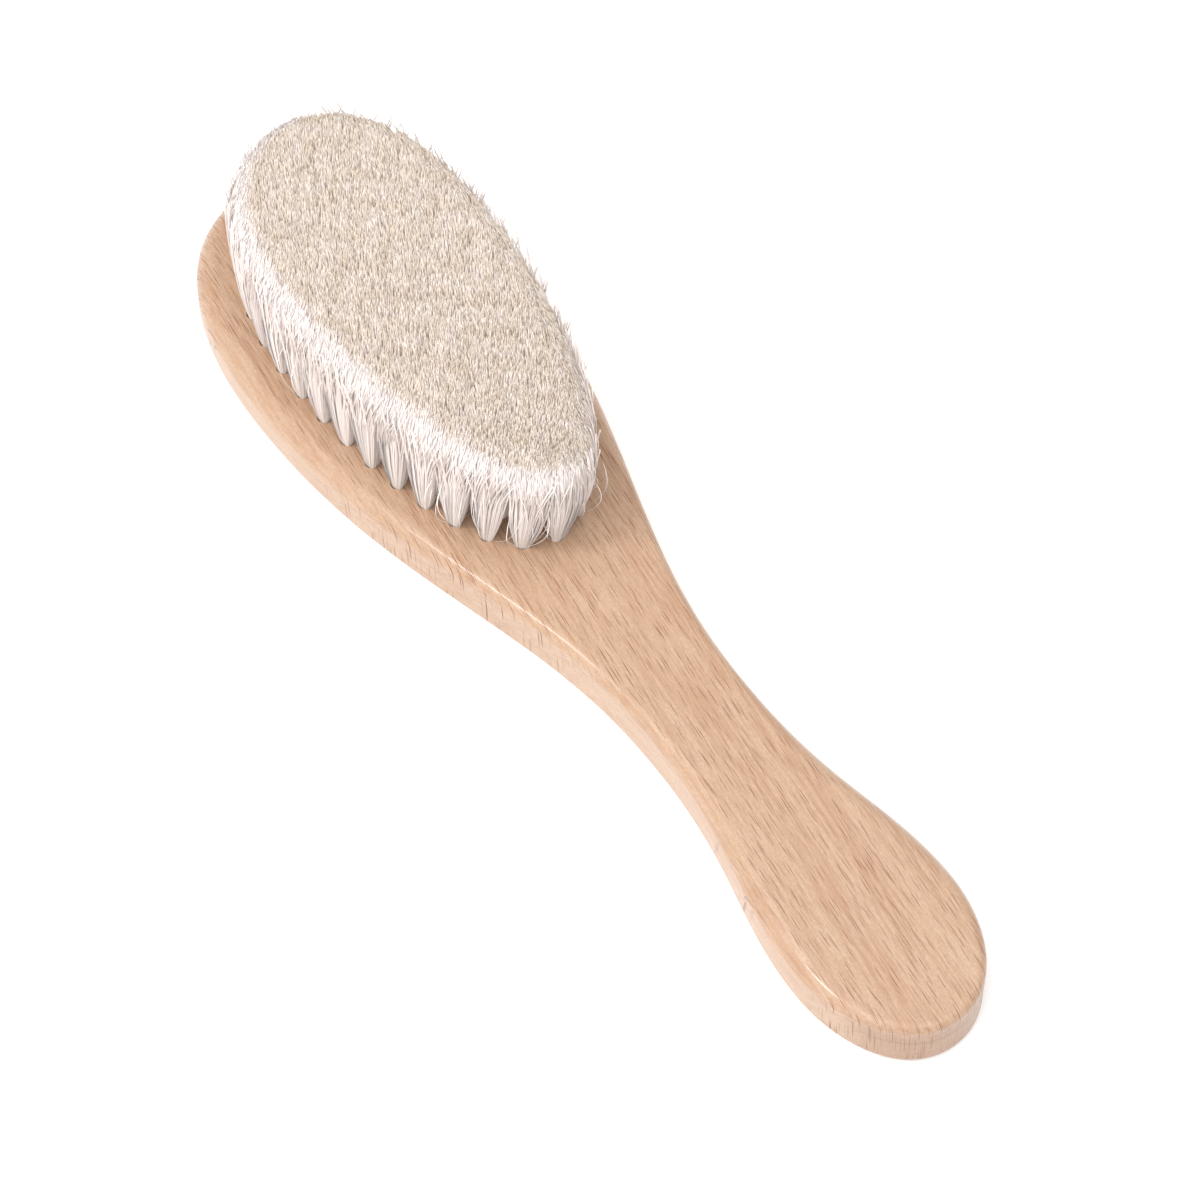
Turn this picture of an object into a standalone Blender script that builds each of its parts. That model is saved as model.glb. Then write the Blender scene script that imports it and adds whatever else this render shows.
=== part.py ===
"""Clothes brush: a solid beech paddle filled with tufts of goat hair.

Each tuft sits in its own blind hole.  The tufts of the outer ring stay apart,
while those of the inner rings close up into a block above their roots.  A flat
wire anchor pinned across a hole holds the fold of its tuft.  The brush lies on
its flat back with the bristles up, the head toward -X and the handle toward +X.
Units are metres.
"""
import bpy
import bmesh
import numpy as np
from math import cos, sin, pi, atan2, sqrt
from mathutils import Matrix, Vector, geometry

# ---------------------------------------------------------------- dimensions
LENGTH = 0.180            # paddle, nose to handle end
THICK = 0.0108            # paddle thickness
ROUND = 0.0034            # radius rolled along both long edges
OUTLINE_STEPS = 11        # straight steps per quarter of the outline

# Outline of one side: place along the length from the nose, half width, and
# how far the curve runs on straight before and after each station.
NOSE_PULL = 0.0170
STATIONS = (
    (0.0348, 0.0236, 0.0210, 0.0348),     # widest point of the head
    (0.1165, 0.0085, 0.0307, 0.0217),     # waist
    (0.1596, 0.0141, 0.0142, 0.0094),     # handle swelling
)
END_PULL = 0.0093

# The bristle field is egg shaped: centre, half length, half width, egg factor.
FIELD_X = 0.0442
FIELD_A = 0.0368
FIELD_B = 0.0166
FIELD_EGG = (-0.18, 0.11)
RING_STEP = 0.0053                        # from one ring of holes to the next
OUTER_COUNT = 32
INNER_RINGS = (("second_ring_tufts", 1, 26), ("third_ring_tufts", 2, 20))
CENTRE_COUNT = 9
CENTRE_HALF = 0.0194
BAND_HALF = 0.0021                        # half thickness of a closed-up ring
BAND_GAP = 0.0005                         # between one closed-up ring and the next
BAND_STEPS = 36

HOLE_D = 0.0025
HOLE_DEPTH = 0.0075
CLEAR = 0.0003                            # clearance left round every fitted piece
SIDES = 8                                 # facets round a hole and a tuft

BRISTLE = 0.0258                          # free length of a tuft
TUFT_MID = (0.34, 0.00205)                # share of the free length, radius there
TUFT_TOP_R = 0.00243
LEAN_HANDLE = 0.14                        # sideways travel per unit of height
LEAN_NOSE = -0.02
DOME = 0.0004                             # the rim tufts end this much lower
TRIM = 0.0056                             # and slope down this far to their outer side

ANCHOR = (0.0035, 0.0004, 0.0016)         # long, thick, tall
ANCHOR_LIFT = 0.0016                      # from the bottom of the hole
ANCHOR_FIRST, ANCHOR_COUNT = 16, 24       # outer tufts with an anchor, counted round

BEECH = (0.716, 0.502, 0.352, 1.0)
HAIR = (0.80, 0.72, 0.61, 1.0)
WIRE = (0.52, 0.52, 0.53, 1.0)


# ------------------------------------------------------------------- helpers
def collection(name, hidden=False):
    """A collection linked to the scene; cutters go in a hidden one."""
    made = bpy.data.collections.new(name)
    bpy.context.scene.collection.children.link(made)
    made.hide_render = hidden
    return made


def material(name, colour, rough, metal=0.0):
    """One Principled material with a name of its own."""
    made = bpy.data.materials.new(name)
    made.use_nodes = True
    made.diffuse_color = colour
    shader = made.node_tree.nodes["Principled BSDF"]
    shader.inputs["Base Color"].default_value = colour
    shader.inputs["Roughness"].default_value = rough
    shader.inputs["Metallic"].default_value = metal
    return made


def add_object(name, bm, home, looks=None):
    """Turn a bmesh into a named object in the given collection."""
    bmesh.ops.recalc_face_normals(bm, faces=bm.faces)
    mesh = bpy.data.meshes.new(name)
    bm.to_mesh(mesh)
    bm.free()
    made = bpy.data.objects.new(name, mesh)
    home.objects.link(made)
    if looks:
        mesh.materials.append(looks)
    return made


def as_cutter(obj):
    """Keep a cutter out of the render and drawn as wire."""
    obj.hide_render = True
    obj.display_type = 'WIRE'
    return obj


def cut(target, tool, operation='DIFFERENCE'):
    """Exact boolean, left live as a modifier."""
    mod = target.modifiers.new(operation.lower() + "_" + tool.name, 'BOOLEAN')
    mod.operation = operation
    mod.solver = 'EXACT'
    mod.object = tool


def join(target, tool):
    """Union with a helper object."""
    cut(target, tool, 'UNION')


# -------------------------------------------------------------------- layout
def half_outline():
    """Points of one side of the paddle, nose to handle end."""
    knots = [((0.0, 0.0), (0.0, 0.0), (0.0, NOSE_PULL))]
    for x, w, back, ahead in STATIONS:
        knots.append(((x, w), (x - back, w), (x + ahead, w)))
    knots.append(((LENGTH, 0.0), (LENGTH, END_PULL), (LENGTH, 0.0)))
    points = []
    for (p0, _, out0), (p1, in1, _) in zip(knots, knots[1:]):
        arc = geometry.interpolate_bezier(Vector(p0), Vector(out0), Vector(in1),
                                          Vector(p1), OUTLINE_STEPS + 1)
        points += [Vector((p.x, p.y)) for p in arc[:-1]]
    return points + [Vector((LENGTH, 0.0))]


def field_point(inset, turn):
    """Point of the bristle field's edge moved inward, nose at x = 0."""
    a, b = FIELD_A - inset, FIELD_B - inset
    c = cos(turn)
    squeeze = 1.0 + FIELD_EGG[0] * c + FIELD_EGG[1] * c * c
    return np.array([FIELD_X + a * c, b * sin(turn) * squeeze])


def ring_roots(ring, count):
    """Equally spaced hole centres round one ring, starting at the handle end."""
    turns = np.linspace(0.0, 2.0 * pi, 721)
    path = np.array([field_point(ring * RING_STEP, t) for t in turns])
    run = np.concatenate([[0.0], np.cumsum(np.linalg.norm(np.diff(path, axis=0), axis=1))])
    stops = np.interp(np.arange(count) / count * run[-1], run, turns)
    return [field_point(ring * RING_STEP, t) for t in stops]


def lean_of(point):
    """How far a tuft travels sideways for each unit it rises."""
    along = (point[0] - FIELD_X) / FIELD_A
    reach = LEAN_HANDLE if along > 0 else LEAN_NOSE
    return Vector((reach * along * abs(along) ** 0.7, 0.0, 1.0))


def rim_share(point):
    """0 at the middle of the bristle field, 1 on the outer ring."""
    dx, dy = (point[0] - FIELD_X) / FIELD_A, point[1] / FIELD_B
    return min(1.0, sqrt(dx * dx + dy * dy))


def root_frame(point):
    """Matrix of a hole: origin at its mouth, local Z along the tuft."""
    axis = lean_of(point).normalized()
    across = Vector((0.0, 1.0, 0.0)).cross(axis).normalized()
    side = axis.cross(across)
    turn = Matrix((across, side, axis)).transposed().to_4x4()
    return Matrix.Translation((point[0] - LENGTH / 2, point[1], THICK)) @ turn


# --------------------------------------------------------------------- pieces
def build_body(home, looks):
    """Paddle blank: outline pushed up, its two long edges rolled round."""
    side = half_outline()
    ring = side + [Vector((p.x, -p.y)) for p in reversed(side[1:-1])]
    bm = bmesh.new()
    base = bm.faces.new([bm.verts.new((p.x - LENGTH / 2, p.y, 0.0)) for p in ring])
    raised = bmesh.ops.extrude_face_region(bm, geom=[base])
    top = [v for v in raised["geom"] if isinstance(v, bmesh.types.BMVert)]
    bmesh.ops.translate(bm, verts=top, vec=(0.0, 0.0, THICK))
    body = add_object("brush_body", bm, home, looks)
    roll = body.modifiers.new("rolled_edges", 'BEVEL')
    roll.width = ROUND
    roll.segments = 4
    roll.limit_method = 'ANGLE'
    roll.angle_limit = 1.0
    roll.use_clamp_overlap = True
    return body


def add_drum(bm, frame, rings, trim=None):
    """A faceted drum along local Z; rings are (height, radius) from below.

    With a trim direction, the top slopes down towards that side, each corner
    sliding down its own edge so that the side facets stay flat.
    """
    turns = [2 * pi * (i + 0.5) / SIDES for i in range(SIDES)]
    loops = [[bm.verts.new(frame @ Vector((radius * cos(t), radius * sin(t), height)))
              for t in turns] for height, radius in rings]
    if trim:
        edge_rise = rings[-1][0] - rings[-2][0]
        for low, high, t in zip(loops[-2], loops[-1], turns):
            outward = cos(t) * trim[0] + sin(t) * trim[1]
            drop = TRIM * ((1 + outward) / 2) ** 2
            high.co += (low.co - high.co) * drop / edge_rise
    for low, high in zip(loops, loops[1:]):
        for i in range(SIDES):
            j = (i + 1) % SIDES
            bm.faces.new((low[i], low[j], high[j], high[i]))
    bm.faces.new(list(reversed(loops[0])))
    if not trim:
        bm.faces.new(loops[-1])
        return
    crown = bm.verts.new(frame @ Vector((0.0, 0.0, rings[-1][0] - TRIM / 4)))
    for i in range(SIDES):
        bm.faces.new((loops[-1][i], loops[-1][(i + 1) % SIDES], crown))


def add_block(bm, frame, size, height):
    """A rectangular block centred on local Z at the given height."""
    place = frame @ Matrix.Translation((0.0, 0.0, height))
    scale = Matrix.Diagonal((size[0], size[1], size[2], 1.0))
    bmesh.ops.create_cube(bm, size=1.0, matrix=place @ scale)


def anchor_height():
    """Middle of an anchor measured from the mouth of its hole."""
    return -HOLE_DEPTH + ANCHOR_LIFT + ANCHOR[2] / 2


def grown(size, gap):
    """A block size with the same gap added on every side."""
    return tuple(s + 2 * gap for s in size)


def cut_holes(body, name, roots, cutters):
    """Drill the blind holes of one ring."""
    bm = bmesh.new()
    radius = HOLE_D / 2
    for point in roots:
        add_drum(bm, root_frame(point), ((-HOLE_DEPTH, radius), (0.0015, radius)))
    cut(body, as_cutter(add_object(name + "_holes", bm, cutters)))


def tuft_length(point):
    """Free length of a tuft: the rim of the field is trimmed a little lower."""
    return BRISTLE - DOME * rim_share(point) ** 2


def outward_of(point):
    """Unit direction in the board's plane, straight out of the outer ring."""
    dx, dy = (point[0] - FIELD_X) / FIELD_A ** 2, point[1] / FIELD_B ** 2
    return Vector((dx, dy)).normalized()


def root_rings(point, above):
    """Heights and radii of a tuft root, from its hole to the given rings."""
    root = HOLE_D / 2 - CLEAR
    return ((-HOLE_DEPTH + CLEAR, root), (0.0003, root)) + above


def build_outer_tuft(number, point, home, cutters, looks):
    """One tuft of the outer ring, slotted if it folds round an anchor."""
    bm = bmesh.new()
    length = tuft_length(point)
    above = ((TUFT_MID[0] * length, TUFT_MID[1]), (length, TUFT_TOP_R))
    add_drum(bm, root_frame(point), root_rings(point, above), outward_of(point))
    tuft = add_object("outer_tuft_%02d" % number, bm, home, looks)
    if has_anchor(number):
        slot = bmesh.new()
        size = (HOLE_D * 1.2, ANCHOR[1] + 2 * CLEAR, ANCHOR[2] + 2 * CLEAR)
        add_block(slot, root_frame(point), size, anchor_height())
        cut(tuft, as_cutter(add_object(tuft.name + "_slot", slot, cutters)))
    return tuft


def has_anchor(number):
    """Whether the outer tuft of this number carries an anchor of its own."""
    return (number - 1 - ANCHOR_FIRST) % OUTER_COUNT < ANCHOR_COUNT


def build_anchors(body, roots, home, cutters, looks):
    """The flat wire anchors, and the pockets their ends bite in the holes."""
    pockets = bmesh.new()
    for number, point in enumerate(roots, 1):
        if not has_anchor(number):
            continue
        bm = bmesh.new()
        add_block(bm, root_frame(point), ANCHOR, anchor_height())
        add_object("outer_anchor_%02d" % number, bm, home, looks)
        add_block(pockets, root_frame(point), grown(ANCHOR, CLEAR), anchor_height())
    cut(body, as_cutter(add_object("anchor_pockets", pockets, cutters)))


def lifted_loop(bm, inset, share):
    """A closed loop of the field's outline at a share of the free length."""
    loop = []
    for i in range(BAND_STEPS):
        point = field_point(inset, 2 * pi * i / BAND_STEPS)
        foot = Vector((point[0] - LENGTH / 2, point[1], THICK))
        axis = lean_of(point).normalized()
        loop.append(bm.verts.new(foot + axis * share * tuft_length(point)))
    return loop


def bridge(bm, low, high):
    """Quads between two loops of the same length."""
    for i in range(len(low)):
        j = (i + 1) % len(low)
        bm.faces.new((low[i], low[j], high[j], high[i]))


def build_block(name, roots, outer, inner, home, cutters, looks):
    """Closed-up hair between two insets of the field, on separate roots."""
    bm = bmesh.new()
    out_low, out_high = (lifted_loop(bm, outer, s) for s in (TUFT_MID[0], 1.0))
    bridge(bm, out_low, out_high)
    if inner is None:
        bm.faces.new(list(reversed(out_low)))
        bm.faces.new(out_high)
    else:
        in_low, in_high = (lifted_loop(bm, inner, s) for s in (TUFT_MID[0], 1.0))
        bridge(bm, in_high, in_low)
        bridge(bm, in_low, out_low)
        bridge(bm, out_high, in_high)
    block = add_object(name, bm, home, looks)
    feet = bmesh.new()
    for point in roots:
        top = (TUFT_MID[0] * tuft_length(point) + 0.0015, BAND_HALF - 0.0002)
        add_drum(feet, root_frame(point), root_rings(point, (top,)))
    join(block, as_cutter(add_object(name + "_roots", feet, cutters)))
    return block


def main():
    for obj in list(bpy.data.objects):
        bpy.data.objects.remove(obj, do_unlink=True)
    home = collection("clothes_brush")
    cutters = collection("clothes_brush_cutters", hidden=True)
    looks = {"beech": material("beech_lacquered", BEECH, 0.42),
             "hair": material("goat_hair", HAIR, 0.65),
             "wire": material("anchor_wire", WIRE, 0.35, 1.0)}
    body = build_body(home, looks["beech"])
    outer = ring_roots(0, OUTER_COUNT)
    cut_holes(body, "outer_ring", outer, cutters)
    build_anchors(body, outer, home, cutters, looks["wire"])
    for number, point in enumerate(outer, 1):
        build_outer_tuft(number, point, home, cutters, looks["hair"])
    for name, ring, count in INNER_RINGS:
        roots = ring_roots(ring, count)
        cut_holes(body, name, roots, cutters)
        edge = ring * RING_STEP
        build_block(name, roots, edge - BAND_HALF, edge + BAND_HALF,
                    home, cutters, looks["hair"])
    row = [np.array([FIELD_X + s, 0.0])
           for s in np.linspace(-CENTRE_HALF, CENTRE_HALF, CENTRE_COUNT)]
    cut_holes(body, "centre_row", row, cutters)
    edge = 2 * RING_STEP + BAND_HALF + BAND_GAP
    build_block("centre_row_tufts", row, edge, None, home, cutters, looks["hair"])


main()
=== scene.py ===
# %% [markdown]
# # A soft clothes brush, cell by cell
# The real object is a flat beech paddle with a field of white goat hair on its
# head.  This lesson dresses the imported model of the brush: the wood is rebuilt
# with fine rolled edges and drilled holes, every tuft becomes real strands, and
# the finishes are procedural.  All lengths are in metres, +Z is up, the head
# points to -X and the handle to +X.

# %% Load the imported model
import bpy
import math
import numpy as np
from mathutils import Matrix, Vector, geometry


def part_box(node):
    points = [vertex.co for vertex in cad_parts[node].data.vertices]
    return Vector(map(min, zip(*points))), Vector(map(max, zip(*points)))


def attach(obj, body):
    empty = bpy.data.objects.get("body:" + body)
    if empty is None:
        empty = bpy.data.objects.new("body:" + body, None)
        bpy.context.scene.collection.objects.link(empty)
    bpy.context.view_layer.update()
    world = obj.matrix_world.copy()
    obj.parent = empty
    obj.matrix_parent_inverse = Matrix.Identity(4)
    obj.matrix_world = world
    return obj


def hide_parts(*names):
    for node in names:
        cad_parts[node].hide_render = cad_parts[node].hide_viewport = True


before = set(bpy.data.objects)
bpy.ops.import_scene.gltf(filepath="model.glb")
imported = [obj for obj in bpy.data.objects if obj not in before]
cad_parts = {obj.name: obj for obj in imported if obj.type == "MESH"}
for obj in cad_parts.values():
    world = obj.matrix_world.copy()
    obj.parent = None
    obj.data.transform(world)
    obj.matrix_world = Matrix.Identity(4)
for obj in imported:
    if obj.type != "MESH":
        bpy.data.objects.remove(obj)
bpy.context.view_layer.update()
WOOD_LOW, WOOD_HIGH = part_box("brush_body")
THICK = WOOD_HIGH[2]
LENGTH = WOOD_HIGH[0] - WOOD_LOW[0]
print("nodes:", len(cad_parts), "board:", round(LENGTH, 4), "x", round(THICK, 4))

# %% [markdown]
# ## Camera
# A long lens well above the brush shows the whole bristle face and the near side
# of the tufts at once, as a catalogue picture would.  The camera is placed by
# azimuth, elevation and distance round a target, which is easier to adjust than
# loose coordinates.

# %% Camera
VIEW_AZIMUTH, VIEW_ELEVATION = math.radians(54.16), math.radians(61.0)
VIEW_DISTANCE = 0.790
VIEW_TARGET = Vector((-0.00085, 0.00218, 0.0))


def direction(azimuth, elevation):
    """Unit vector from the target towards a place in the sky."""
    return Vector((math.sin(azimuth) * math.cos(elevation),
                   -math.cos(azimuth) * math.cos(elevation),
                   math.sin(elevation)))


def aim(obj, place, target):
    """Put a lamp or the camera at a place, looking at the target."""
    obj.location = place
    obj.rotation_mode = 'QUATERNION'
    obj.rotation_quaternion = (target - place).to_track_quat('-Z', 'Y')


bpy.ops.object.camera_add()
camera = bpy.context.object
camera.name = "studio_camera"
camera.data.lens = 155.1
camera.data.sensor_width = 36.0
camera.data.clip_start, camera.data.clip_end = 0.01, 20.0
back = direction(VIEW_AZIMUTH, VIEW_ELEVATION)
aim(camera, VIEW_TARGET + back * VIEW_DISTANCE, VIEW_TARGET)
bpy.context.scene.camera = camera
bpy.context.scene.view_settings.view_transform = 'Standard'
print("camera at", [round(v, 3) for v in camera.location])

# %% [markdown]
# ## Light and floor
# White hair on white needs a bright, wrapping light with one softer, stronger
# side, or the tufts melt into a single blob.  Two large area lamps do that: a
# wide one overhead and a key from the front.  A third, small one only draws the
# gleam along the lacquered edge.  The floor is a plain white sheet that also
# shines a little, so it stays pale under the brush.

# %% Lamps and world
def soft_lamp(name, azimuth, elevation, distance, size, power, tint=(1, 1, 1)):
    """A square area lamp aimed at the middle of the brush."""
    bpy.ops.object.light_add(type='AREA')
    lamp = bpy.context.object
    lamp.name = name
    lamp.data.size = size
    lamp.data.energy = power
    lamp.data.color = tint
    way = direction(math.radians(azimuth), math.radians(elevation))
    aim(lamp, VIEW_TARGET + way * distance, VIEW_TARGET)
    return lamp


soft_lamp("overhead_softbox", 60, 82, 0.9, 0.9, 4.9)
soft_lamp("front_softbox", 14, 42, 0.9, 0.8, 2.7)
soft_lamp("edge_gleam", 343, 59, 0.8, 0.13, 2.0, (1.0, 0.985, 0.965))
world = bpy.context.scene.world or bpy.data.worlds.new("studio_air")
bpy.context.scene.world = world
world.use_nodes = True
air = world.node_tree.nodes["Background"]
air.inputs["Color"].default_value = (1.0, 1.0, 1.0, 1.0)
air.inputs["Strength"].default_value = 0.69

# %% Floor
bpy.ops.mesh.primitive_plane_add(size=8.0, location=(0, 0, 0))
floor = bpy.context.object
floor.name = "white_floor"
floor_white = bpy.data.materials.new("white_sheet")
floor_white.use_nodes = True
sheet = floor_white.node_tree.nodes["Principled BSDF"]
sheet.inputs["Base Color"].default_value = (0.88, 0.88, 0.88, 1)
sheet.inputs["Roughness"].default_value = 0.9
sheet.inputs["Emission Color"].default_value = (1, 1, 1, 1)
sheet.inputs["Emission Strength"].default_value = 0.22
floor.data.materials.append(floor_white)
print("floor is", round(floor.dimensions.x, 1), "m wide")

# %% [markdown]
# ## Helpers for modelling
# Operators act on whatever is selected, and loading the model leaves it all
# selected.  These few helpers clear the selection, pick points by a rule, apply
# modifiers, and leave a finished piece with its place in its mesh.

# %% Selection helpers
def only(obj):
    """Make one object the selected and active one."""
    if bpy.context.object and bpy.context.object.mode != 'OBJECT':
        bpy.ops.object.mode_set(mode='OBJECT')
    bpy.ops.object.select_all(action='DESELECT')
    obj.select_set(True)
    bpy.context.view_layer.objects.active = obj


def pick_points(obj, rule):
    """Select the vertices that pass a rule, in edit mode."""
    only(obj)
    bpy.ops.object.mode_set(mode='EDIT')
    bpy.ops.mesh.select_mode(type='VERT')
    bpy.ops.mesh.select_all(action='DESELECT')
    bpy.ops.object.mode_set(mode='OBJECT')
    for vertex in obj.data.vertices:
        vertex.select = rule(vertex.co)
    bpy.ops.object.mode_set(mode='EDIT')


def apply_all(obj):
    """Apply every modifier of an object."""
    only(obj)
    for mod in list(obj.modifiers):
        bpy.ops.object.modifier_apply(modifier=mod.name)


def settle(obj):
    """Leave the object at the origin, its place held by its mesh."""
    only(obj)
    bpy.ops.object.transform_apply(location=True, rotation=True, scale=True)


# %% [markdown]
# ## The plan of the brush
# The outline is four smooth curves a side: nose, widest point, waist, handle
# swelling and round end.  The bristle field is an egg with its blunt end at the
# nose, and its holes stand on shrinking copies of that egg.

# %% Outline of the paddle
NOSE_PULL, END_PULL = 0.0170, 0.0093
STATIONS = ((0.0348, 0.0236, 0.0210, 0.0348),
            (0.1165, 0.0085, 0.0307, 0.0217),
            (0.1596, 0.0141, 0.0142, 0.0094))
OUTLINE_STEPS = 46


def half_outline():
    """Points of one side, nose to handle end, at fine steps."""
    knots = [((0.0, 0.0), (0.0, 0.0), (0.0, NOSE_PULL))]
    for x, w, behind, ahead in STATIONS:
        knots.append(((x, w), (x - behind, w), (x + ahead, w)))
    knots.append(((LENGTH, 0.0), (LENGTH, END_PULL), (LENGTH, 0.0)))
    points = []
    for (p0, _, leave), (p1, reach, _) in zip(knots, knots[1:]):
        arc = geometry.interpolate_bezier(Vector(p0), Vector(leave), Vector(reach),
                                          Vector(p1), OUTLINE_STEPS + 1)
        points += [(p.x, p.y) for p in arc[:-1]]
    return points + [(LENGTH, 0.0)]


side = half_outline()
outline = side + [(x, -y) for x, y in reversed(side[1:-1])]
print("outline points:", len(outline))

# %% Holes of the bristle field
FIELD_X, FIELD_A, FIELD_B = 0.0442, 0.0368, 0.0166
FIELD_EGG = (-0.18, 0.11)
RING_STEP = 0.0053
HOLE_D, HOLE_DEPTH = 0.0025, 0.0075
LEAN_HANDLE, LEAN_NOSE = 0.14, -0.02


def field_point(inset, turn):
    """Point of the bristle field's edge moved inward, nose at x = 0."""
    a, b, c = FIELD_A - inset, FIELD_B - inset, math.cos(turn)
    squeeze = 1.0 + FIELD_EGG[0] * c + FIELD_EGG[1] * c * c
    return np.array([FIELD_X + a * c, b * math.sin(turn) * squeeze])


def ring_roots(ring, count):
    """Equally spaced holes round one ring, starting at the handle end."""
    turns = np.linspace(0.0, 2.0 * math.pi, 721)
    path = np.array([field_point(ring * RING_STEP, t) for t in turns])
    steps = np.linalg.norm(np.diff(path, axis=0), axis=1)
    run = np.concatenate([[0.0], np.cumsum(steps)])
    stops = np.interp(np.arange(count) / count * run[-1], run, turns)
    return [field_point(ring * RING_STEP, t) for t in stops]


def lean_of(point):
    """How far a tuft travels sideways for each unit it rises."""
    along = (point[0] - FIELD_X) / FIELD_A
    reach = LEAN_HANDLE if along > 0 else LEAN_NOSE
    return np.array([reach * along * abs(along) ** 0.7, 0.0, 1.0])


def root_frame(point):
    """Matrix of a hole: origin at its mouth, local Z along the tuft."""
    axis = Vector(lean_of(point)).normalized()
    across = Vector((0.0, 1.0, 0.0)).cross(axis).normalized()
    turn = Matrix((across, axis.cross(across), axis)).transposed().to_4x4()
    return Matrix.Translation((point[0] - LENGTH / 2, point[1], THICK)) @ turn


OUTER_ROOTS = ring_roots(0, 32)
SECOND_ROOTS = ring_roots(1, 26)
THIRD_ROOTS = ring_roots(2, 20)
ROW_ROOTS = [np.array([FIELD_X + s, 0.0]) for s in np.linspace(-0.0194, 0.0194, 9)]
ALL_ROOTS = OUTER_ROOTS + SECOND_ROOTS + THIRD_ROOTS + ROW_ROOTS
print("holes:", len(ALL_ROOTS))

# %% [markdown]
# ## Beech
# Steamed beech is a pinkish cream with soft bands along the board and, on top of
# them, countless short dark flecks: its rays, thin sheets that stand on edge in
# the wood.  The flat face cuts them into fine dashes along the grain, and the
# edges of the board cut them into upright strokes, except where an edge runs
# along them and shows none: a number kept on the board's points, called side_on,
# says where that is.  A solid texture gives the rest
# for nothing: one flat spindle in each cell of a lattice stretched along the
# grain.  The grain runs a few degrees off the axis of the handle, as it does on
# most turned blanks.

# %% Node helpers
def add_node(tree, kind, **settings):
    """Add a shader node and set its plain properties."""
    made = tree.nodes.new(kind)
    for key, value in settings.items():
        setattr(made, key, value)
    return made


def plug(tree, source, target):
    """Link an output to an input."""
    tree.links.new(source, target)


def sum_of(tree, kind, first, second, clamp=False):
    """A Math node fed by sockets or plain numbers."""
    made = add_node(tree, "ShaderNodeMath", operation=kind, use_clamp=clamp)
    for socket, value in zip(made.inputs, (first, second)):
        if hasattr(value, "is_linked"):
            plug(tree, value, socket)
        else:
            socket.default_value = value
    return made.outputs[0]


def blend_of(tree, factor, first, second):
    """A colour mix fed by sockets or plain colours."""
    made = add_node(tree, "ShaderNodeMix", data_type='RGBA')
    for name, value in ((0, factor), (6, first), (7, second)):
        if hasattr(value, "is_linked"):
            plug(tree, value, made.inputs[name])
        else:
            made.inputs[name].default_value = value
    return made.outputs[2]


def ramp_of(tree, source, stops):
    """A grey ramp through the given places and values."""
    made = add_node(tree, "ShaderNodeValToRGB")
    points = made.color_ramp.elements
    while len(points) < len(stops):
        points.new(0.5)
    for point, (place, value) in zip(points, stops):
        point.position = place
        point.color = (value, value, value, 1.0)
    plug(tree, source, made.inputs[0])
    return made.outputs[0]


def new_group(name, ins, outs):
    """A shader node group with named sockets."""
    made = bpy.data.node_groups.new(name, 'ShaderNodeTree')
    for label, kind, value in ins:
        socket = made.interface.new_socket(label, in_out='INPUT', socket_type=kind)
        if value is not None:
            socket.default_value = value
    for label, kind in outs:
        made.interface.new_socket(label, in_out='OUTPUT', socket_type=kind)
    return made, add_node(made, "NodeGroupInput"), add_node(made, "NodeGroupOutput")


print("node helpers ready; materials so far:", len(bpy.data.materials))

# %% Grain group: flecks, bands and fine streaks of a long-grained wood
FLECK_SHARE = 0.46        # half a fleck's length and height, as a share of its cell


def fleck_mask(tree, vector, gin, shift):
    """Thin upright spindles, one in each cell of a stretched lattice."""
    size = add_node(tree, "ShaderNodeCombineXYZ")
    for axis, label in enumerate(("Fleck Length", "Fleck Spacing", "Fleck Height")):
        plug(tree, gin.outputs[label], size.inputs[axis])
    stretched = add_node(tree, "ShaderNodeVectorMath", operation='DIVIDE')
    plug(tree, vector, stretched.inputs[0])
    plug(tree, size.outputs[0], stretched.inputs[1])
    moved = add_node(tree, "ShaderNodeVectorMath", operation='ADD')
    plug(tree, stretched.outputs[0], moved.inputs[0])
    moved.inputs[1].default_value = (shift, shift * 1.7, shift * 0.6)
    cells = add_node(tree, "ShaderNodeTexVoronoi", feature='F1')
    cells.inputs["Scale"].default_value = 1.0
    plug(tree, moved.outputs[0], cells.inputs["Vector"])
    away = add_node(tree, "ShaderNodeVectorMath", operation='SUBTRACT')
    plug(tree, moved.outputs[0], away.inputs[0])
    plug(tree, cells.outputs["Position"], away.inputs[1])
    reach = add_node(tree, "ShaderNodeCombineXYZ")
    for axis in (0, 2):
        reach.inputs[axis].default_value = FLECK_SHARE
    plug(tree, gin.outputs["Fleck Size"], reach.inputs[1])
    spindle = add_node(tree, "ShaderNodeVectorMath", operation='DIVIDE')
    plug(tree, away.outputs[0], spindle.inputs[0])
    plug(tree, reach.outputs[0], spindle.inputs[1])
    far = add_node(tree, "ShaderNodeVectorMath", operation='LENGTH')
    plug(tree, spindle.outputs[0], far.inputs[0])
    soft = ramp_of(tree, far.outputs["Value"], ((0.62, 1.0), (1.0, 0.0)))
    tint = add_node(tree, "ShaderNodeSeparateColor")
    plug(tree, cells.outputs["Color"], tint.inputs[0])
    strong = ramp_of(tree, tint.outputs[0], ((0.10, 0.15), (0.85, 1.0)))
    return sum_of(tree, 'MULTIPLY', soft, strong)


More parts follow.
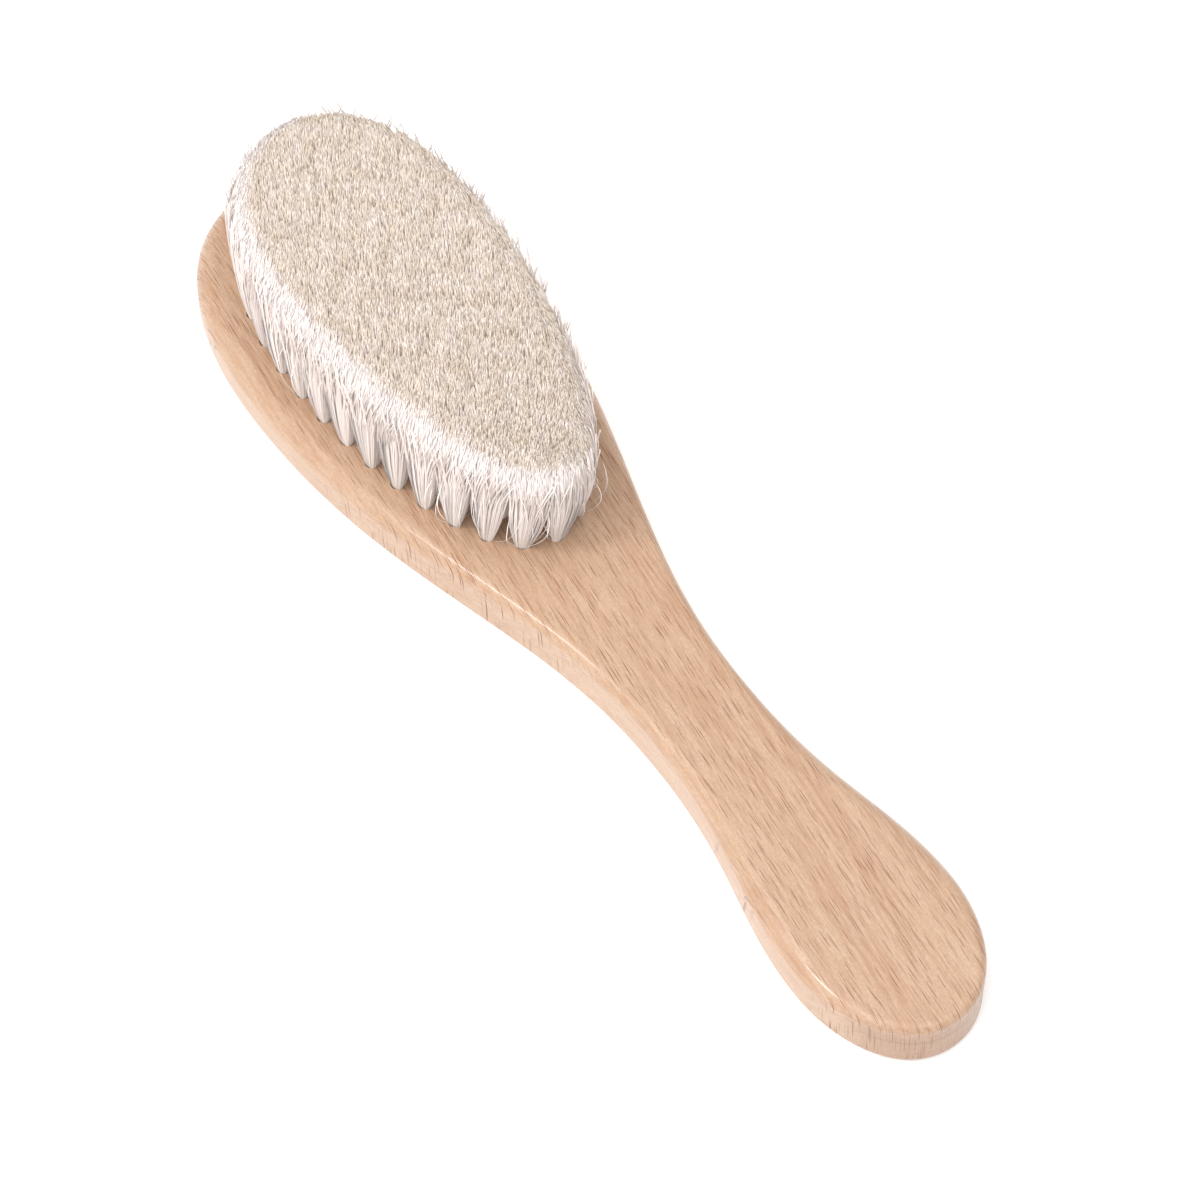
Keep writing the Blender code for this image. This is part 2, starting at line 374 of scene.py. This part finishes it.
def grain_group():
    """Flecks, bands, streaks and grit, in the wood's own coordinates."""
    tree, gin, gout = new_group(
        "long_grain",
        [("Vector", 'NodeSocketVector', None), ("Fleck Length", 'NodeSocketFloat', 0.005),
         ("Fleck Spacing", 'NodeSocketFloat', 0.0006), ("Fleck Height", 'NodeSocketFloat', 0.004),
         ("Fleck Size", 'NodeSocketFloat', 0.11)],
        [("Fleck", 'NodeSocketFloat'), ("Band", 'NodeSocketFloat'),
         ("Fine", 'NodeSocketFloat'), ("Grit", 'NodeSocketFloat')])
    masks = [fleck_mask(tree, gin.outputs["Vector"], gin, shift) for shift in (0.0, 3.7)]
    plug(tree, sum_of(tree, 'MAXIMUM', masks[0], masks[1]), gout.inputs["Fleck"])
    for name, scale, stretch in (("Band", 300.0, 0.05), ("Fine", 1900.0, 0.05),
                                 ("Grit", 5200.0, 0.35)):
        streak = add_node(tree, "ShaderNodeMapping")
        streak.inputs["Scale"].default_value = (stretch, 1.0, 1.0)
        plug(tree, gin.outputs["Vector"], streak.inputs["Vector"])
        cloud = add_node(tree, "ShaderNodeTexNoise")
        cloud.inputs["Scale"].default_value = scale
        cloud.inputs["Detail"].default_value = 2.0
        plug(tree, streak.outputs[0], cloud.inputs["Vector"])
        plug(tree, cloud.outputs["Fac"], gout.inputs[name])
    return tree


LONG_GRAIN = grain_group()
print("grain group nodes:", len(LONG_GRAIN.nodes))

# %% Lacquered beech material
GRAIN_TURN = math.radians(6.0)
RING_HEIGHT, RING_HALF = 0.0066, 0.0002      # a growth ring that surfaces at the handle end
END_FROM, END_FADE = 0.0785, 0.005           # where the darker end of the handle starts, along X: its end grain, and painted shade on its walls
END_TOP, END_TOP_FADE = 0.0102, 0.002        # its upper limit, just under the rolled edge


def make_beech():
    """Clear-lacquered steamed beech."""
    made = bpy.data.materials.new("beech_lacquered")
    made.use_nodes = True
    tree = made.node_tree
    shader = tree.nodes["Principled BSDF"]
    place = add_node(tree, "ShaderNodeTexCoord")
    lay = add_node(tree, "ShaderNodeMapping")
    lay.inputs["Rotation"].default_value = (-0.015, 0.035, GRAIN_TURN)
    plug(tree, place.outputs["Object"], lay.inputs["Vector"])
    grain = add_node(tree, "ShaderNodeGroup", node_tree=LONG_GRAIN)
    plug(tree, lay.outputs[0], grain.inputs["Vector"])
    grain.inputs["Fleck Length"].default_value = 0.0044
    grain.inputs["Fleck Spacing"].default_value = 0.00052
    grain.inputs["Fleck Height"].default_value = 0.0075
    grain.inputs["Fleck Size"].default_value = 0.105
    band = ramp_of(tree, grain.outputs["Band"], ((0.38, 0.0), (0.62, 1.0)))
    base = blend_of(tree, band, (0.435, 0.258, 0.160, 1), (0.485, 0.314, 0.205, 1))
    fine = ramp_of(tree, grain.outputs["Fine"], ((0.35, 0.0), (0.65, 1.0)))
    base = blend_of(tree, sum_of(tree, 'MULTIPLY', fine, 0.60), base, (0.575, 0.405, 0.290, 1))
    grit = ramp_of(tree, grain.outputs["Grit"], ((0.40, 0.0), (0.62, 1.0)))
    base = blend_of(tree, sum_of(tree, 'MULTIPLY', grit, 0.32), base, (0.345, 0.190, 0.110, 1))
    side_on = add_node(tree, "ShaderNodeAttribute", attribute_name="side_on")
    crossing = ramp_of(tree, side_on.outputs["Fac"], ((0.965, 1.0), (0.995, 0.0)))
    ray = sum_of(tree, 'MULTIPLY', grain.outputs["Fleck"], crossing)
    base = blend_of(tree, ray, base, (0.165, 0.054, 0.018, 1))
    spot = add_node(tree, "ShaderNodeSeparateXYZ")
    plug(tree, place.outputs["Object"], spot.inputs[0])
    off = sum_of(tree, 'ABSOLUTE', sum_of(tree, 'SUBTRACT', spot.outputs[2], RING_HEIGHT), 0.0)
    line = sum_of(tree, 'SUBTRACT', 1.0, sum_of(tree, 'DIVIDE', off, RING_HALF), clamp=True)
    reach = sum_of(tree, 'SUBTRACT', spot.outputs[0], END_FROM)
    reach = sum_of(tree, 'DIVIDE', reach, END_FADE, clamp=True)
    low = sum_of(tree, 'SUBTRACT', END_TOP, spot.outputs[2])
    low = sum_of(tree, 'DIVIDE', low, END_TOP_FADE, clamp=True)
    # The walls of the handle's end are darkened: partly its end grain, partly painted shade on walls that
    # get less of the light from above.
    end_grain_and_shade = sum_of(tree, 'MULTIPLY', sum_of(tree, 'MULTIPLY', low, reach), 0.45)
    base = blend_of(tree, end_grain_and_shade, base, (0.315, 0.165, 0.094, 1))
    growth = sum_of(tree, 'MULTIPLY', sum_of(tree, 'MULTIPLY', line, reach), 0.6)
    base = blend_of(tree, growth, base, (0.205, 0.092, 0.045, 1))
    plug(tree, base, shader.inputs["Base Color"])
    rough = sum_of(tree, 'ADD', sum_of(tree, 'MULTIPLY', ray, 0.2), 0.42)
    plug(tree, rough, shader.inputs["Roughness"])
    shader.inputs["Specular IOR Level"].default_value = 0.30
    shader.inputs["Coat Weight"].default_value = 0.42
    shader.inputs["Coat Roughness"].default_value = 0.17
    height = sum_of(tree, 'SUBTRACT', grain.outputs["Grit"], ray)
    bump = add_node(tree, "ShaderNodeBump")
    bump.inputs["Strength"].default_value = 0.22
    bump.inputs["Distance"].default_value = 0.00012
    plug(tree, height, bump.inputs["Height"])
    plug(tree, bump.outputs[0], shader.inputs["Normal"])
    return made


BEECH = make_beech()
print("beech nodes:", len(BEECH.node_tree.nodes))

# %% [markdown]
# ## The paddle
# The blank starts as a disc whose rim is laid on the outline, is pushed up to the
# board's thickness, and gets its long edges rolled with a Bevel modifier.  Bevel
# weights make the roll wide along the head and tight round the handle end.

# %% Blank and rolled edges
ROLL_WIDE = 0.0038


def roll_weight(x):
    """Share of the widest roll at a place along the board, nose at x = 0."""
    return float(np.interp(x, (0.0, 0.05, 0.085, 0.115, 0.138, 0.155, 0.168, 0.178),
                           (1.0, 0.85, 0.42, 0.48, 0.80, 0.80, 0.50, 0.34)))


def make_blank():
    """The paddle before drilling."""
    bpy.ops.object.select_all(action='DESELECT')
    bpy.ops.mesh.primitive_circle_add(vertices=len(outline), radius=0.05, fill_type='NGON')
    blank = bpy.context.object
    blank.name = "beech_paddle"
    for vertex, (x, y) in zip(blank.data.vertices, outline):
        vertex.co = (x - LENGTH / 2, y, 0.0)
    only(blank)
    bpy.ops.object.mode_set(mode='EDIT')
    bpy.ops.mesh.select_all(action='SELECT')
    bpy.ops.mesh.extrude_region_move(TRANSFORM_OT_translate={"value": (0, 0, THICK)})
    bpy.ops.mesh.select_all(action='SELECT')
    bpy.ops.mesh.normals_make_consistent(inside=False)
    bpy.ops.object.mode_set(mode='OBJECT')
    return blank


def roll_edges(blank):
    """Weight the two rims and roll them with a Bevel."""
    mesh = blank.data
    weight = mesh.attributes.new("bevel_weight_edge", 'FLOAT', 'EDGE')
    for edge in mesh.edges:
        a, b = (mesh.vertices[i].co for i in edge.vertices)
        if abs(a.z - b.z) < 1e-6:
            weight.data[edge.index].value = roll_weight((a.x + b.x) / 2 + LENGTH / 2)
    roll = blank.modifiers.new("rolled_edges", 'BEVEL')
    roll.width = ROLL_WIDE
    roll.segments = 8
    roll.limit_method = 'WEIGHT'
    roll.use_clamp_overlap = False
    apply_all(blank)


paddle = make_blank()
roll_edges(paddle)
print("blank faces:", len(paddle.data.polygons))

# %% [markdown]
# ## Drilling
# Each tuft sits in a blind hole.  One drill is modelled, a cylinder whose upper
# end flares a little, because the bit always leaves a small chamfer, and it is
# copied to every root at the lean of its tuft.  One exact Boolean then cuts them.

# %% Drill and cut
DRILL_SIDES = 20
DRILL_ABOVE = 0.001       # the drill reaches this far above the wood
CHAMFER_DEPTH, CHAMFER_GROW = 0.00012, 1.22


def make_drill():
    """One drill, its mouth at z = 0, pointing down."""
    bpy.ops.object.select_all(action='DESELECT')
    bpy.ops.mesh.primitive_cylinder_add(vertices=DRILL_SIDES, radius=HOLE_D / 2,
                                        depth=HOLE_DEPTH + 2 * DRILL_ABOVE,
                                        location=(0, 0, DRILL_ABOVE - HOLE_DEPTH / 2))
    drill = bpy.context.object
    settle(drill)
    only(drill)
    bpy.ops.object.mode_set(mode='EDIT')
    bpy.ops.mesh.select_all(action='SELECT')
    bpy.ops.mesh.bisect(plane_co=(0, 0, -CHAMFER_DEPTH), plane_no=(0, 0, 1))
    bpy.ops.object.mode_set(mode='OBJECT')
    for vertex in drill.data.vertices:
        if vertex.co.z > 0.0:
            vertex.co.x *= CHAMFER_GROW
            vertex.co.y *= CHAMFER_GROW
    return drill


def drill_holes(target, roots):
    """Copy the drill to every root, join the copies and cut them out."""
    drill = make_drill()
    copies = []
    for point in roots:
        copy = bpy.data.objects.new("drill_copy", drill.data.copy())
        copy.data.transform(root_frame(point))
        bpy.context.collection.objects.link(copy)
        copies.append(copy)
    only(copies[0])
    for copy in copies:
        copy.select_set(True)
    bpy.ops.object.join()
    cutter = bpy.context.object
    hole = target.modifiers.new("holes", 'BOOLEAN')
    hole.operation = 'DIFFERENCE'
    hole.solver = 'EXACT'
    hole.object = cutter
    apply_all(target)
    for spent in (cutter, drill):
        bpy.data.objects.remove(spent, do_unlink=True)


drill_holes(paddle, ALL_ROOTS)
settle(paddle)
bpy.ops.object.shade_smooth_by_angle(angle=math.radians(32))
weighting = paddle.modifiers.new("face_weighting", 'WEIGHTED_NORMAL')
weighting.keep_sharp = True
apply_all(paddle)
side_on = paddle.data.attributes.new("side_on", 'FLOAT', 'POINT')
for vertex in paddle.data.vertices:
    across = math.hypot(vertex.normal.x, vertex.normal.y)
    side_on.data[vertex.index].value = abs(vertex.normal.y) / max(across, 0.3)
paddle.data.materials.clear()
paddle.data.materials.append(BEECH)
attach(paddle, "root")
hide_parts("brush_body")
print("paddle faces:", len(paddle.data.polygons))

# %% [markdown]
# ## Goat hair
# Goat hair is ivory white, silky along its side and straw coloured at the cut
# tips, where every strand ends in its own fine point.  Each point carries three
# numbers: how high along its strand it is, the strand's own tone, and how much of
# the straw colour its tip takes.  The material turns those into the colour, so
# neighbouring strands differ as real ones do.  The straw colour is partly the
# hair's own and partly painted shade between the tips and in the pits of short
# locks.  The rim of the face is painted white and paler, painted light where its
# tips are seen side-on, and the hair has a faint painted glow for the light that
# passes through it.

# %% Hair tint group and material
def hair_group():
    """Strand colour from its rise, its own tone (paler at the rim as painted light), and its share of
    straw colour and painted shade.
    """
    tree, gin, gout = new_group(
        "hair_tint",
        [("Rise", 'NodeSocketFloat', 0.5), ("Tone_And_Rim_Light", 'NodeSocketFloat', 0.5),
         ("Straw_And_Shade", 'NodeSocketFloat', 0.5)],
        [("Color", 'NodeSocketColor')])
    low = ramp_of(tree, gin.outputs["Rise"], ((0.0, 0.0), (0.35, 1.0)))
    side_tint = blend_of(tree, low, (0.725, 0.645, 0.592, 1), (0.748, 0.655, 0.618, 1))
    high = ramp_of(tree, gin.outputs["Rise"], ((0.78, 0.0), (0.96, 1.0)))
    # The straw colour of the tips is partly the hair's own and partly painted shade between them.
    straw_and_shade = blend_of(tree, gin.outputs["Straw_And_Shade"], (0.865, 0.805, 0.79, 1), (0.735, 0.64, 0.52, 1))
    tint = blend_of(tree, high, side_tint, straw_and_shade)
    pale = blend_of(tree, gin.outputs["Tone_And_Rim_Light"], (0.60, 0.54, 0.50, 1), (1.0, 1.0, 1.0, 1))
    made = add_node(tree, "ShaderNodeMix", data_type='RGBA', blend_type='MULTIPLY')
    made.inputs[0].default_value = 1.0
    plug(tree, tint, made.inputs[6])
    plug(tree, pale, made.inputs[7])
    plug(tree, made.outputs[2], gout.inputs["Color"])
    return tree


HAIR_TINT = hair_group()


def make_hair():
    """Silky goat hair, with a faint painted glow for the light that passes through it."""
    made = bpy.data.materials.new("goat_hair")
    made.use_nodes = True
    tree = made.node_tree
    shader = tree.nodes["Principled BSDF"]
    tint = add_node(tree, "ShaderNodeGroup", node_tree=HAIR_TINT)
    for name in ("Rise", "Tone_And_Rim_Light", "Straw_And_Shade"):
        held = add_node(tree, "ShaderNodeAttribute", attribute_name=name.lower())
        plug(tree, held.outputs["Fac"], tint.inputs[name])
    plug(tree, tint.outputs[0], shader.inputs["Base Color"])
    shader.inputs["Roughness"].default_value = 0.50
    shader.inputs["Sheen Weight"].default_value = 0.15
    # The emission is painted light: a faint warm glow standing in for light scattered through the white
    # hair.
    shader.inputs["Emission Color"].default_value = (1.0, 0.90, 0.83, 1)
    shader.inputs["Emission Strength"].default_value = 0.075
    return made


HAIR = make_hair()
print("hair tint nodes:", len(HAIR_TINT.nodes))

# %% [markdown]
# ## One strand
# A strand is modelled once: a three-sided prism cut at a few heights, its top
# drawn to a point.  At a fifth of a millimetre across, more sides wouldn't show.

# %% Template strands
def make_strand(cuts):
    """A strand one unit tall and one in radius, as points and triangles."""
    bpy.ops.object.select_all(action='DESELECT')
    bpy.ops.mesh.primitive_cylinder_add(vertices=3, radius=1.0, depth=1.0, location=(0, 0, 0.5))
    strand = bpy.context.object
    settle(strand)
    only(strand)
    bpy.ops.object.mode_set(mode='EDIT')
    for height in cuts:
        bpy.ops.mesh.select_all(action='SELECT')
        bpy.ops.mesh.bisect(plane_co=(0, 0, height), plane_no=(0, 0, 1))
    bpy.ops.object.mode_set(mode='OBJECT')
    pick_points(strand, lambda co: co.z > 0.99)
    bpy.ops.mesh.merge(type='CENTER')
    bpy.ops.mesh.select_all(action='SELECT')
    bpy.ops.mesh.quads_convert_to_tris()
    bpy.ops.mesh.normals_make_consistent(inside=False)
    bpy.ops.object.mode_set(mode='OBJECT')
    points = np.array([v.co[:] for v in strand.data.vertices])
    faces = np.array([f.vertices[:] for f in strand.data.polygons])
    bpy.data.objects.remove(strand, do_unlink=True)
    return points, faces


STRAND = make_strand((0.30, 0.65, 0.95))
RIM_STRAND = make_strand((0.16, 0.34, 0.56, 0.76, 0.86, 0.96))
STRAY = make_strand((0.08, 0.16, 0.25, 0.34, 0.43, 0.52, 0.62, 0.72, 0.86))
print("triangles in a strand:", [len(kind[1]) for kind in (STRAND, RIM_STRAND, STRAY)])

# %% [markdown]
# ## From strand to tuft
# The hand tools stop here: nobody places tens of thousands of hairs one by one.  The
# tips are sown first, evenly over the whole bristle face, because real hair
# spreads until it fills the room it has.  Each tip then belongs to the nearest
# hole.  Its strand leaves that hole in a tight cone, opens until it meets its
# neighbours, and runs up beside them.  Strands lie in small locks, so each is
# drawn part of the way to the middle of its lock.  Here and there a lock is cut
# short and leaves a small pit, and a few strays lean over to the next tuft.

# %% Sow the tips
BRISTLE = 0.0252          # free length in the middle of the field
RIM_DROP, RIM_WIDTH = 0.0065, 0.0055      # the face rounds down towards its rim
FACE_GROW = 0.0023        # the face reaches this far outside the outer ring
RIM_TUCK = 0.0022         # the outermost tips curl back in this far
TIP_STEP = 0.00026        # from one tip to the next


def from_rim(points):
    """Distance of each point from the edge of the bristle face, and the way in."""
    turns = np.linspace(0, 2 * np.pi, 480, endpoint=False)
    edge = np.array([field_point(-FACE_GROW, t) for t in turns])
    gaps = points[:, None] - edge[None]
    nearest = np.argmin(np.linalg.norm(gaps, axis=2), axis=1)
    inward = gaps[np.arange(len(points)), nearest]
    distance = np.linalg.norm(inward, axis=1)
    return np.column_stack([distance, inward / (distance[:, None] + 1e-9)])


def sow_tips(rng):
    """A shaken honeycomb of tips inside the bristle face."""
    xs = np.arange(FIELD_X - FIELD_A - 0.002, FIELD_X + FIELD_A + 0.002, TIP_STEP)
    ys = np.arange(-FIELD_B - 0.003, FIELD_B + 0.003, TIP_STEP * 0.866)
    grid = np.array([(x + TIP_STEP * 0.5 * (i % 2), y) for i, y in enumerate(ys) for x in xs])
    grid = grid + rng.normal(0, TIP_STEP * 0.30, grid.shape)
    a, b = FIELD_A + FACE_GROW, FIELD_B + FACE_GROW
    c = np.clip((grid[:, 0] - FIELD_X) / a, -1, 1)
    half = b * np.sqrt(1 - c * c) * (1 + FIELD_EGG[0] * c + FIELD_EGG[1] * c * c)
    return grid[np.abs(grid[:, 1]) < half]


TIPS = sow_tips(np.random.default_rng(7))
HOLES = np.array(ALL_ROOTS)
OWNER = np.concatenate([np.argmin(np.linalg.norm(part[:, None] - HOLES[None], axis=2), axis=1)
                        for part in np.array_split(TIPS, 40)])
RIM = np.concatenate([from_rim(part) for part in np.array_split(TIPS, 80)])
print("strands:", len(TIPS), "in a tuft:", np.bincount(OWNER).min(), "to", np.bincount(OWNER).max())

# %% Comb the strands
TUFT_ROOT = 0.00098       # radius of the gathered tuft in its hole
STRAND_WIDTH = 0.000100
LOCK_SIZE = 3             # strands in one lock
LOCK_DROP, OWN_DROP = 0.0004, 0.00045     # how far locks and strands fall short of the face
PATCH_DROP = 0.0006       # how deep the broad dips in the face are
PIT_SHARE, PIT_DROP = 0.05, 0.0012        # locks that are cut short, and by how much
RIM_LIT_WHITE = 0.0033        # the straw tips start this far in from the edge of the face; nearer the edge the tips are painted white, painted light where they are seen side-on
FAR_SIDE_WHITE_CUT = 0.0022       # and this much nearer to the edge on the +Y side, away from the camera, so the painted white band is narrower there
STRAW_AND_SHADE_FADE = 0.0012       # width over which the straw colour and its painted shade come in
SMOOTH_RIM = 0.0007       # the orderly strands of the rim, also painted paler, reach this much further in


def comb(hole, rng):
    """Per-strand settings of one tuft."""
    mine = OWNER == hole
    tips, inside, inward = TIPS[mine], RIM[mine, 0], RIM[mine, 1:]
    tucked = RIM_TUCK * np.clip(1 - inside / RIM_WIDTH, 0, 1)
    inside = inside + tucked
    count = len(tips)
    middle = tips.mean(axis=0)
    spread = np.linalg.cholesky(np.cov((tips - middle).T))
    packed = (tips - middle) @ np.linalg.inv(spread).T * (TUFT_ROOT / 2)
    packed /= np.maximum(1.0, np.linalg.norm(packed, axis=1) / TUFT_ROOT)[:, None]
    lock_tips = tips[rng.choice(count, count // LOCK_SIZE, replace=False)]
    near = np.argmin(np.linalg.norm(tips[:, None] - lock_tips[None], axis=2), axis=1)
    pit = (rng.random(len(lock_tips)) < PIT_SHARE)[near]
    lock_drop = LOCK_DROP * np.abs(rng.standard_normal(len(lock_tips)))[near] + PIT_DROP * pit
    lock_tone = rng.normal(0, 0.20, len(lock_tips))[near]
    # Cut-short locks take the most straw colour: painted shade in their pits.
    lock_straw_and_pit_shade = np.maximum(rng.random(len(lock_tips))[near], pit)
    drop = RIM_DROP * np.clip(1 - inside / RIM_WIDTH, 0, 1) ** 2
    own_drop = OWN_DROP * np.abs(rng.standard_normal(count))
    cloud = 0.5 + 0.5 * np.sin(tips[:, 0] * 900 + 2 * np.sin(tips[:, 1] * 700))
    patch = np.clip(np.sin(tips[:, 0] * 640 + 3 * np.sin(tips[:, 1] * 430 + 1)), 0, 1)
    # The tips near the rim are kept white: painted light, in a wider band on the side towards the camera.
    lit_white_rim = RIM_LIT_WHITE - FAR_SIDE_WHITE_CUT * np.clip(-1.3 * inward[:, 1], 0, 1)
    rim = np.clip(1 - inside / (lit_white_rim + SMOOTH_RIM), 0, 1)
    ragged = lock_drop + own_drop + PATCH_DROP * patch
    return {"root": HOLES[hole] + packed, "tip": tips, "lock": lock_tips[near],
            "lean": np.array([lean_of(p)[:2] for p in tips]),
            "length": BRISTLE - drop - ragged * (1 - 0.85 * rim),
            "bow": rng.normal(0, 0.00007, (count, 2)),
            "tuck": inward * tucked[:, None],
            "turn": rng.random(count) * 2 * np.pi,
            "width": STRAND_WIDTH * (0.7 + 0.6 * rng.random(count)),
            "rim": rim, "outward": -inward,
            # rim strands get an even, paler tone: painted light on the edge of the face
            "tone_and_rim_light": np.clip(rng.normal(0.70, 0.24, count) + lock_tone, 0, 1) * (1 - rim) + rim * 0.8,
            "straw_and_shade": np.clip((inside - lit_white_rim) / STRAW_AND_SHADE_FADE, 0, 1)
            * np.clip(0.1 + 0.45 * lock_straw_and_pit_shade + 0.3 * rng.random(count) + 0.25 * cloud, 0, 1)}


STRAY_REACH, STRAY_BOW = 0.0014, 0.0003   # how far strays lean aside and how much they bend


def strays_of(hair, share, rng):
    """A few strands of a tuft that left their place and cross the others."""
    count = max(2, int(len(hair["tip"]) * share))
    chosen = rng.choice(len(hair["tip"]), count, replace=False)
    strays = {key: value[chosen] for key, value in hair.items()}
    strays["tip"] = strays["tip"] + rng.normal(0, STRAY_REACH, (count, 2))
    strays["bow"] = rng.normal(0, STRAY_BOW, (count, 2))
    strays["width"] = strays["width"] * 0.6
    strays["length"] = strays["length"] * (0.45 + 0.25 * rng.random(count))
    strays["tone_and_rim_light"] = np.ones(count)
    return strays


OPENING = 2.5             # how soon a tuft opens above its hole
GATHER = 0.18             # share of the way that a tip is drawn to its lock
CURL_FROM = 0.5           # share of a strand's length where the rim starts to curl in


def centre_line(hair, s):
    """Points of every strand at the shares s of its length: strands x shares x 3."""
    open_up = ((1 - np.exp(-OPENING * s)) / (1 - math.exp(-OPENING)))[None, :, None]
    gather = (GATHER * s ** 4)[None, :, None]
    goal = hair["tip"][:, None] * (1 - gather) + hair["lock"][:, None] * gather
    flat = hair["root"][:, None] * (1 - open_up) + goal * open_up
    rise = hair["length"][:, None] * s[None]
    flat = flat + hair["lean"][:, None] * rise[..., None]
    swing = np.sin(np.pi * np.clip(s, 0, 1) ** 0.65)
    flat = flat + hair["bow"][:, None] * swing[None, :, None]
    curl = np.clip((s - CURL_FROM) / (1 - CURL_FROM), 0, 1) ** 2
    flat = flat + hair["tuck"][:, None] * curl[None, :, None]
    line = np.concatenate([flat, rise[..., None]], axis=2)
    return line + np.array([-LENGTH / 2, 0.0, THICK])


print("strand across:", round(2000 * STRAND_WIDTH, 2), "mm, free length:", round(1000 * BRISTLE, 1), "mm")

# %% [markdown]
# ## A tuft as one mesh
# A strand's own flat sides would glitter, so its normals are turned part of the
# way to those of the whole tuft, and near the rim to those of the whole field.
# That is what makes the side of a tuft look silky.

# %% Build one tuft
SOFTEN = 0.78             # how far strand normals turn towards the tuft's own
SOFTEN_RIM = 0.85         # how far tips at the rim turn towards the field's own
BURIED = 0.0012           # strands start this far down their holes
STRAND_TAPER = ((0.0, 0.5, 0.95, 1.0), (0.8, 1.0, 1.35, 0.0))


def strands_mesh(hair, template):
    """Points, faces, normals and per-point numbers of a set of strands."""
    points, faces = template
    count = len(hair["tip"])
    levels, which = np.unique(np.round(points[:, 2], 5), return_inverse=True)
    lines = centre_line(hair, levels)
    lines[:, 0, 2] -= BURIED
    taper = np.interp(points[:, 2], *STRAND_TAPER)
    c, s = np.cos(hair["turn"])[:, None], np.sin(hair["turn"])[:, None]
    x, y = points[None, :, 0], points[None, :, 1]
    size = hair["width"][:, None] * taper[None]
    out = np.stack([x * c - y * s, x * s + y * c, np.zeros((count, len(taper)))], axis=2)
    across = (lines - lines.mean(axis=0)[None])[:, which]
    across[..., 2] = 0.0
    across /= np.linalg.norm(across, axis=2, keepdims=True) + 1e-9
    face = np.column_stack([hair["outward"] * 0.8, np.full(count, 0.6)])[:, None]
    top = np.interp(points[:, 2], (0.50, 0.85), (0.0, 1.0))[None, :, None]
    toward = across * (1 - top) + face * top
    share = SOFTEN * (1 - top) + SOFTEN_RIM * top * np.minimum(1, 1.5 * hair["rim"])[:, None, None]
    normals = out * (1 - share) + toward * share
    normals[..., 2] += np.interp(points[:, 2], (0.0, 0.6, 1.0), (0.15, 0.15, 0.30))[None]
    normals /= np.linalg.norm(normals, axis=2, keepdims=True)
    body = lines[:, which].copy()
    body[..., :2] += out[..., :2] * size[..., None]
    all_faces = faces[None] + (np.arange(count) * len(points))[:, None, None]
    numbers = [np.broadcast_to(points[None, :, 2], size.shape).ravel()]
    for label in ("tone_and_rim_light", "straw_and_shade"):
        numbers.append(np.broadcast_to(hair[label][:, None], size.shape).ravel())
    return body.reshape(-1, 3), all_faces.reshape(-1, 3), normals.reshape(-1, 3), numbers


def hair_piece(name, holes, node, stray_share=0.0):
    """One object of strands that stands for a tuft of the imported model."""
    rng = np.random.default_rng(1000 + holes[0])
    made = []
    for hole in holes:
        hair = comb(hole, rng)
        made.append(strands_mesh(hair, RIM_STRAND if stray_share else STRAND))
        if stray_share:
            made.append(strands_mesh(strays_of(hair, stray_share, rng), STRAY))
    shift = np.cumsum([0] + [len(m[0]) for m in made[:-1]])
    points = np.concatenate([m[0] for m in made])
    faces = np.concatenate([m[1] + s for m, s in zip(made, shift)])
    mesh = bpy.data.meshes.new(name)
    mesh.from_pydata(points.tolist(), [], faces.tolist())
    for row, label in enumerate(("rise", "tone_and_rim_light", "straw_and_shade")):
        held = mesh.attributes.new(label, 'FLOAT', 'POINT')
        values = np.concatenate([m[3][row] for m in made])
        held.data.foreach_set("value", values.astype(np.float32))
    mesh.materials.append(HAIR)
    mesh.shade_smooth()
    mesh.normals_split_custom_set_from_vertices(np.concatenate([m[2] for m in made]))
    piece = bpy.data.objects.new(name, mesh)
    bpy.context.collection.objects.link(piece)
    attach(piece, "root")
    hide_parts(node)
    return piece


# %% Make every tuft
LOOSE_FROM = 0.060        # tufts past here, towards the handle, are more unruly
for hole in range(32):
    loose = 0.045 if HOLES[hole][0] > LOOSE_FROM else 0.008
    hair_piece("goat_tuft_%02d" % (hole + 1), [hole], "outer_tuft_%02d" % (hole + 1), loose)
INNER = (("goat_ring_two_front", range(32, 45), "second_ring_tufts"),
         ("goat_ring_two_back", range(45, 58), "second_ring_tufts"),
         ("goat_ring_three_front", range(58, 68), "third_ring_tufts"),
         ("goat_ring_three_back", range(68, 78), "third_ring_tufts"),
         ("goat_middle_row", range(78, 87), "centre_row_tufts"))
for name, holes, node in INNER:
    ring = hair_piece(name, list(holes), node)
    print(name, "triangles:", len(ring.data.polygons))

# %% [markdown]
# ## Anchors
# The flat wire anchors sit at the bottom of their holes and stay as the model has
# them.  They only need a drawn steel finish.

# %% Drawn wire material
def make_wire():
    """Drawn steel wire with fine lengthwise streaks."""
    made = bpy.data.materials.new("anchor_wire")
    made.use_nodes = True
    tree = made.node_tree
    shader = tree.nodes["Principled BSDF"]
    place = add_node(tree, "ShaderNodeTexCoord")
    streak = add_node(tree, "ShaderNodeMapping")
    streak.inputs["Scale"].default_value = (0.08, 1.0, 1.0)
    plug(tree, place.outputs["Object"], streak.inputs["Vector"])
    cloud = add_node(tree, "ShaderNodeTexNoise")
    cloud.inputs["Scale"].default_value = 9000.0
    plug(tree, streak.outputs[0], cloud.inputs["Vector"])
    tint = blend_of(tree, cloud.outputs["Fac"], (0.45, 0.45, 0.46, 1), (0.66, 0.66, 0.67, 1))
    plug(tree, tint, shader.inputs["Base Color"])
    rough = sum_of(tree, 'ADD', sum_of(tree, 'MULTIPLY', cloud.outputs["Fac"], 0.25), 0.25)
    plug(tree, rough, shader.inputs["Roughness"])
    shader.inputs["Metallic"].default_value = 1.0
    return made


WIRE = make_wire()
for name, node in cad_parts.items():
    if name.startswith("outer_anchor"):
        for held in node.material_slots:
            held.material = WIRE
print("anchors finished")
